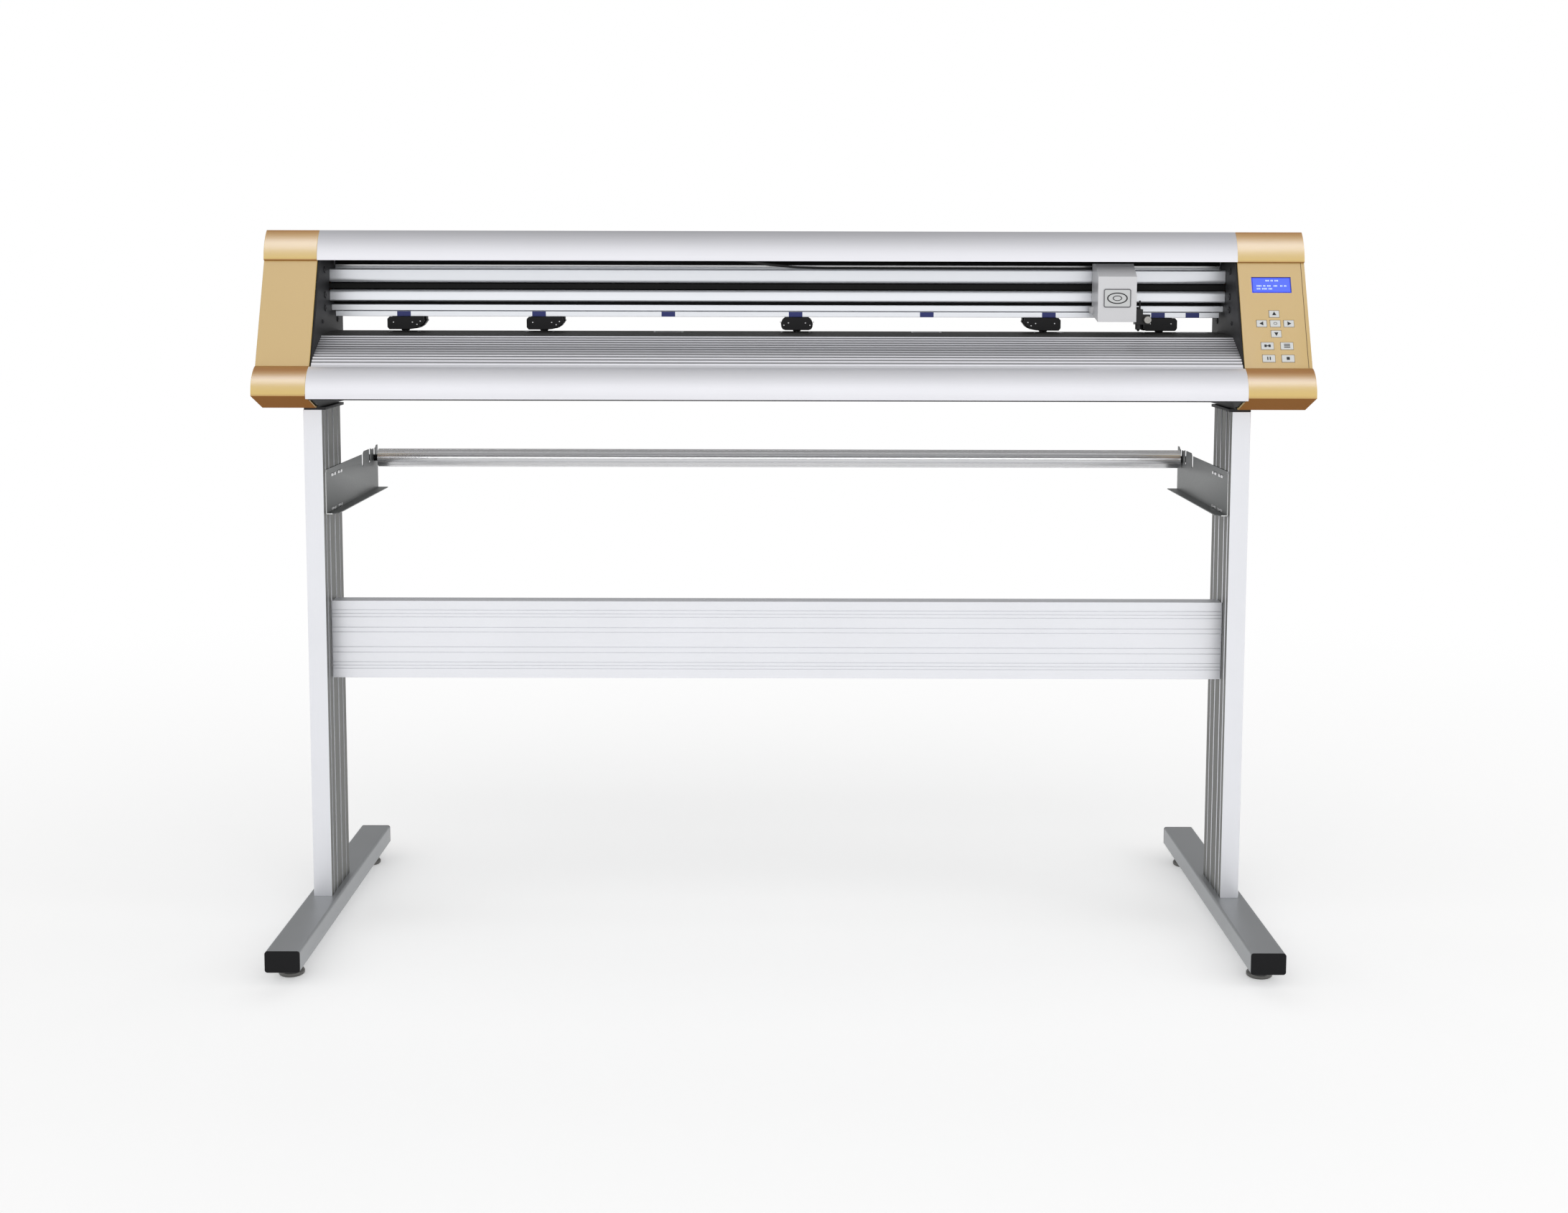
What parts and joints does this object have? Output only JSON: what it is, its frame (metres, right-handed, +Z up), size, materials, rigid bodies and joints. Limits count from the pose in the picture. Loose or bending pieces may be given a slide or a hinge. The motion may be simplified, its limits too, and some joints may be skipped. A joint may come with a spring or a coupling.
{
  "type": "vinyl cutter",
  "caption": "Floor-standing roll vinyl cutter with a covered beam, sliding tool carriage, pinch rollers over a ribbed platen, gold end caps with a key panel, and a stand with a roll holder.",
  "frame": {"origin": "on the floor, at the middle of the overall box in X and Y", "axes": "+X along the beam to the right end cap, +Y to the rear, +Z up"},
  "size_m": [1.56, 0.636, 1.072],
  "materials": {
    "foot_grey": "satin grey paint",
    "plug_black": "moulded black",
    "pad_steel": "dark plated steel",
    "post_silver": "anodised, fine lengthwise grain",
    "crossbar_silver": "anodised, fine lengthwise grain",
    "bracket_grey": "satin grey paint",
    "roller_aluminium": "fluted, satin",
    "bolt_steel": "zinc plated",
    "cap_gold": "satin gold paint",
    "plate_black": "black powder coat",
    "cover_silver": "satin anodised",
    "platen_silver": "satin anodised, ribbed",
    "tray_black": "black powder coat",
    "beam_silver": "bright anodised",
    "lever_steel": "steel with a black grip",
    "holder_black": "moulded black",
    "wheel_rubber": "matt",
    "belt_rubber": "matt",
    "pulley_steel": "machined",
    "motor_black": "black paint",
    "carriage_steel": "machined",
    "housing_grey": "fine moulded texture",
    "arm_black": "black anodised",
    "knob_steel": "knurled",
    "cable_black": "matt sheath",
    "shaft_steel": "ground, rollers knurled",
    "coupler_aluminium": "turned",
    "display_blue": "lit blue display",
    "board_green": "solder mask",
    "inlet_black": "moulded black",
    "key_grey": "printed membrane"
  },
  "bodies": {
    "base": {"left_foot_tube": "foot_grey", "right_foot_tube": "foot_grey", "foot_plugs": "plug_black", "left_post": "post_silver", "right_post": "post_silver", "crossbar": "crossbar_silver", "left_roll_bracket": "bracket_grey", "right_roll_bracket": "bracket_grey", "stand_fasteners": "bolt_steel", "left_cap": "cap_gold", "right_cap": "cap_gold", "left_side_plate": "plate_black", "right_side_plate": "plate_black", "top_cover": "cover_silver", "platen": "platen_silver", "base_tray": "tray_black", "main_beam": "beam_silver", "drive_belt": "belt_rubber", "carriage_motor": "motor_black", "head_cable": "cable_black", "feed_motor": "motor_black", "lcd_display": "display_blue", "control_board": "board_green", "power_inlet": "inlet_black"},
    "levelling_foot_1": {"levelling_foot_1": "pad_steel"},
    "levelling_foot_2": {"levelling_foot_2": "pad_steel"},
    "levelling_foot_3": {"levelling_foot_3": "pad_steel"},
    "levelling_foot_4": {"levelling_foot_4": "pad_steel"},
    "media_roller": {"media_roller": "roller_aluminium"},
    "carriage": {"carriage_plate": "carriage_steel", "carriage_housing": "housing_grey"},
    "tool": {"tool_arm": "arm_black", "blade_holder": "arm_black"},
    "clamp_knob": {"clamp_knob": "knob_steel"},
    "drive_pulley": {"drive_pulley": "pulley_steel"},
    "idler_pulley": {"idler_pulley": "pulley_steel"},
    "feed_shaft": {"grit_shaft": "shaft_steel", "shaft_coupler": "coupler_aluminium"},
    "lift_lever": {"lift_lever": "lever_steel"},
    "pinch_bar": {"pinch_bar": "beam_silver"},
    "pinch_holder_1": {"pinch_holder_1": "holder_black"},
    "pinch_wheel_1": {"pinch_wheel_1": "wheel_rubber"},
    "pinch_holder_2": {"pinch_holder_2": "holder_black"},
    "pinch_wheel_2": {"pinch_wheel_2": "wheel_rubber"},
    "pinch_holder_3": {"pinch_holder_3": "holder_black"},
    "pinch_wheel_3": {"pinch_wheel_3": "wheel_rubber"},
    "pinch_holder_4": {"pinch_holder_4": "holder_black"},
    "pinch_wheel_4": {"pinch_wheel_4": "wheel_rubber"},
    "pinch_holder_5": {"pinch_holder_5": "holder_black"},
    "pinch_wheel_5": {"pinch_wheel_5": "wheel_rubber"},
    "key_up": {"key_up": "key_grey"},
    "key_left": {"key_left": "key_grey"},
    "key_centre": {"key_centre": "key_grey"},
    "key_right": {"key_right": "key_grey"},
    "key_down": {"key_down": "key_grey"},
    "key_online": {"key_online": "key_grey"},
    "key_menu": {"key_menu": "key_grey"},
    "key_pause": {"key_pause": "key_grey"},
    "key_reset": {"key_reset": "key_grey"},
    "power_switch": {"power_switch": "inlet_black"}
  },
  "joints": [
    {"name": "levelling_foot_1_screw", "type": "slide", "parent": "base", "child": "levelling_foot_1", "axis": [0, 0, -1], "range_m": [0, 0.01]},
    {"name": "levelling_foot_2_screw", "type": "slide", "parent": "base", "child": "levelling_foot_2", "axis": [0, 0, -1], "range_m": [0, 0.01]},
    {"name": "levelling_foot_3_screw", "type": "slide", "parent": "base", "child": "levelling_foot_3", "axis": [0, 0, -1], "range_m": [0, 0.01]},
    {"name": "levelling_foot_4_screw", "type": "slide", "parent": "base", "child": "levelling_foot_4", "axis": [0, 0, -1], "range_m": [0, 0.01]},
    {"name": "media_roller_spin", "type": "hinge", "parent": "base", "child": "media_roller", "pos_m": [-0.01, 0.292, 0.697], "axis": [1, 0, 0], "continuous": true},
    {"name": "carriage_slide", "type": "slide", "parent": "base", "child": "carriage", "axis": [1, 0, 0], "range_m": [-1.15, 0.115]},
    {"name": "tool_lift", "type": "slide", "parent": "carriage", "child": "tool", "axis": [0, 0, -1], "range_m": [0, 0.003], "stiffness_N_per_m": 250, "springref_m": -0.012},
    {"name": "clamp_knob_turn", "type": "hinge", "parent": "tool", "child": "clamp_knob", "pos_m": [0.549, -0.045, 0.94], "axis": [0, -1, 0], "range_deg": [0, 540]},
    {"name": "drive_pulley_spin", "type": "hinge", "parent": "base", "child": "drive_pulley", "pos_m": [0.712, 0.0175, 0.987], "axis": [0, 0, 1], "range_deg": [-8047, 859]},
    {"name": "idler_pulley_spin", "type": "hinge", "parent": "base", "child": "idler_pulley", "pos_m": [-0.722, 0.0175, 0.987], "axis": [0, 0, 1], "range_deg": [-8047, 859]},
    {"name": "feed_shaft_spin", "type": "hinge", "parent": "base", "child": "feed_shaft", "pos_m": [0, 0.02, 0.909], "axis": [1, 0, 0], "continuous": true},
    {"name": "lift_lever_turn", "type": "hinge", "parent": "base", "child": "lift_lever", "pos_m": [0, 0.067, 0.957], "axis": [1, 0, 0], "range_deg": [0, 60]},
    {"name": "pinch_bar_lift", "type": "slide", "parent": "base", "child": "pinch_bar", "axis": [0, 0, 1], "range_m": [0, 0.004]},
    {"name": "pinch_holder_1_slide", "type": "slide", "parent": "pinch_bar", "child": "pinch_holder_1", "axis": [1, 0, 0], "range_m": [-0.06, 0.06]},
    {"name": "pinch_wheel_1_spin", "type": "hinge", "parent": "pinch_holder_1", "child": "pinch_wheel_1", "pos_m": [-0.584, 0.02, 0.9286], "axis": [1, 0, 0], "continuous": true},
    {"name": "pinch_holder_2_slide", "type": "slide", "parent": "pinch_bar", "child": "pinch_holder_2", "axis": [1, 0, 0], "range_m": [-0.06, 0.06]},
    {"name": "pinch_wheel_2_spin", "type": "hinge", "parent": "pinch_holder_2", "child": "pinch_wheel_2", "pos_m": [-0.37, 0.02, 0.9286], "axis": [1, 0, 0], "continuous": true},
    {"name": "pinch_holder_3_slide", "type": "slide", "parent": "pinch_bar", "child": "pinch_holder_3", "axis": [1, 0, 0], "range_m": [-0.06, 0.06]},
    {"name": "pinch_wheel_3_spin", "type": "hinge", "parent": "pinch_holder_3", "child": "pinch_wheel_3", "pos_m": [0.02, 0.02, 0.9286], "axis": [1, 0, 0], "continuous": true},
    {"name": "pinch_holder_4_slide", "type": "slide", "parent": "pinch_bar", "child": "pinch_holder_4", "axis": [1, 0, 0], "range_m": [-0.06, 0.06]},
    {"name": "pinch_wheel_4_spin", "type": "hinge", "parent": "pinch_holder_4", "child": "pinch_wheel_4", "pos_m": [0.4, 0.02, 0.9286], "axis": [1, 0, 0], "continuous": true},
    {"name": "pinch_holder_5_slide", "type": "slide", "parent": "pinch_bar", "child": "pinch_holder_5", "axis": [1, 0, 0], "range_m": [-0.06, 0.06]},
    {"name": "pinch_wheel_5_spin", "type": "hinge", "parent": "pinch_holder_5", "child": "pinch_wheel_5", "pos_m": [0.579, 0.02, 0.9286], "axis": [1, 0, 0], "continuous": true},
    {"name": "key_up_press", "type": "slide", "parent": "base", "child": "key_up", "axis": [0, 0.9233, -0.3842], "range_m": [0, 0.0008], "stiffness_N_per_m": 400, "springref_m": -0.002},
    {"name": "key_left_press", "type": "slide", "parent": "base", "child": "key_left", "axis": [0, 0.9233, -0.3842], "range_m": [0, 0.0008], "stiffness_N_per_m": 400, "springref_m": -0.002},
    {"name": "key_centre_press", "type": "slide", "parent": "base", "child": "key_centre", "axis": [0, 0.9233, -0.3842], "range_m": [0, 0.0008], "stiffness_N_per_m": 400, "springref_m": -0.002},
    {"name": "key_right_press", "type": "slide", "parent": "base", "child": "key_right", "axis": [0, 0.9233, -0.3842], "range_m": [0, 0.0008], "stiffness_N_per_m": 400, "springref_m": -0.002},
    {"name": "key_down_press", "type": "slide", "parent": "base", "child": "key_down", "axis": [0, 0.9233, -0.3842], "range_m": [0, 0.0008], "stiffness_N_per_m": 400, "springref_m": -0.002},
    {"name": "key_online_press", "type": "slide", "parent": "base", "child": "key_online", "axis": [0, 0.9233, -0.3842], "range_m": [0, 0.0008], "stiffness_N_per_m": 400, "springref_m": -0.002},
    {"name": "key_menu_press", "type": "slide", "parent": "base", "child": "key_menu", "axis": [0, 0.9233, -0.3842], "range_m": [0, 0.0008], "stiffness_N_per_m": 400, "springref_m": -0.002},
    {"name": "key_pause_press", "type": "slide", "parent": "base", "child": "key_pause", "axis": [0, 0.9233, -0.3842], "range_m": [0, 0.0008], "stiffness_N_per_m": 400, "springref_m": -0.002},
    {"name": "key_reset_press", "type": "slide", "parent": "base", "child": "key_reset", "axis": [0, 0.9233, -0.3842], "range_m": [0, 0.0008], "stiffness_N_per_m": 400, "springref_m": -0.002},
    {"name": "power_switch_rock", "type": "hinge", "parent": "base", "child": "power_switch", "pos_m": [-0.742, 0.09, 0.895], "axis": [1, 0, 0], "range_deg": [-18, 0]}
  ],
  "couplings": [
    {"joint": "drive_pulley_spin", "follows": "carriage_slide", "rad_per_m": 121.21},
    {"joint": "idler_pulley_spin", "follows": "carriage_slide", "rad_per_m": 121.21},
    {"joint": "lift_lever_turn", "follows": "pinch_bar_lift", "rad_per_m": 261.54},
    {"joint": "pinch_wheel_1_spin", "follows": "feed_shaft_spin", "ratio": -1.1444},
    {"joint": "pinch_wheel_2_spin", "follows": "feed_shaft_spin", "ratio": -1.1444},
    {"joint": "pinch_wheel_3_spin", "follows": "feed_shaft_spin", "ratio": -1.1444},
    {"joint": "pinch_wheel_4_spin", "follows": "feed_shaft_spin", "ratio": -1.1444},
    {"joint": "pinch_wheel_5_spin", "follows": "feed_shaft_spin", "ratio": -1.1444}
  ]
}
